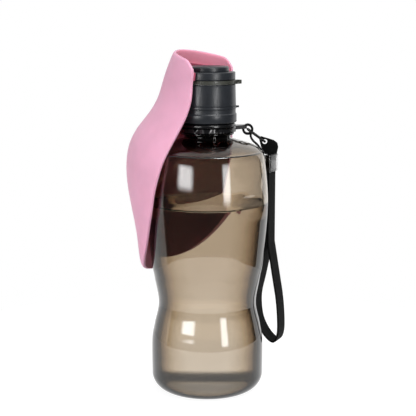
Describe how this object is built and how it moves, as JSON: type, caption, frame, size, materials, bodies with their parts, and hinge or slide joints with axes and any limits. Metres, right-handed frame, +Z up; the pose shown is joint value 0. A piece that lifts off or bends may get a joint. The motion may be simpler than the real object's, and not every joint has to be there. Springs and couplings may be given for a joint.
{
  "type": "dog travel water bottle",
  "caption": "Clear hourglass water bottle with a screw cap and twist valve, a leaf-shaped drinking trough that hangs round it and flips up over the spout, and a wrist strap.",
  "frame": {"origin": "centre of the foot, on the surface that the bottle stands on", "axes": "+Z up along the bottle's axis; the trough hangs towards -X and turns about Y; the finger grooves face +X"},
  "size_m": [0.0984, 0.0885, 0.226],
  "materials": {
    "clear_tritan": "clear, tinted warm grey",
    "charcoal_plastic": "glossy moulded",
    "black_plastic": "glossy moulded",
    "olive_rubber": "satin",
    "pink_silicone": "matte silicone",
    "rose_plastic": "satin",
    "black_webbing": "woven",
    "clear_vinyl": "clear",
    "white_silicone": "matte",
    "natural_plastic": "satin",
    "black_rubber": "satin",
    "pin_steel": "ground"
  },
  "bodies": {
    "bottle": {"bottle_shell": "clear_tritan", "retaining_collar": "black_plastic"},
    "strap_swivel": {"strap_ring": "black_plastic"},
    "strap": {"strap_cord": "black_webbing", "strap_tab": "black_webbing", "strap_sleeve": "clear_vinyl", "wrist_strap": "black_webbing"},
    "cap": {"screw_cap": "charcoal_plastic", "cap_liner": "white_silicone", "index_ring": "charcoal_plastic", "cap_head": "charcoal_plastic", "pivot_pins": "pin_steel", "spout": "charcoal_plastic", "slit_valve": "white_silicone", "valve_retainer": "natural_plastic", "head_seal": "black_rubber"},
    "flow_valve": {"flow_ring": "olive_rubber", "valve_core": "natural_plastic", "core_seals": "black_rubber"},
    "trough": {"trough_shell": "pink_silicone", "trough_yoke": "rose_plastic"}
  },
  "joints": [
    {"name": "cap_lift", "type": "slide", "parent": "bottle", "child": "cap", "axis": [0, 0, 1], "range_m": [0, 0.02]},
    {"name": "flow_turn", "type": "hinge", "parent": "cap", "child": "flow_valve", "pos_m": [0, 0, 0.2055], "axis": [0, 0, -1], "range_deg": [0, 70]},
    {"name": "trough_flip", "type": "hinge", "parent": "cap", "child": "trough", "pos_m": [0, 0, 0.2095], "axis": [0, 1, 0], "range_deg": [0, 165]},
    {"name": "ring_swivel", "type": "hinge", "parent": "bottle", "child": "strap_swivel", "pos_m": [0, 0, 0.1747], "axis": [0, 0, 1], "range_deg": [-140, 12]},
    {"name": "strap_swing", "type": "hinge", "parent": "strap_swivel", "child": "strap", "pos_m": [0.01225, 0.02958, 0.1729], "axis": [0.5736, -0.8192, 0], "range_deg": [0, 90]}
  ]
}
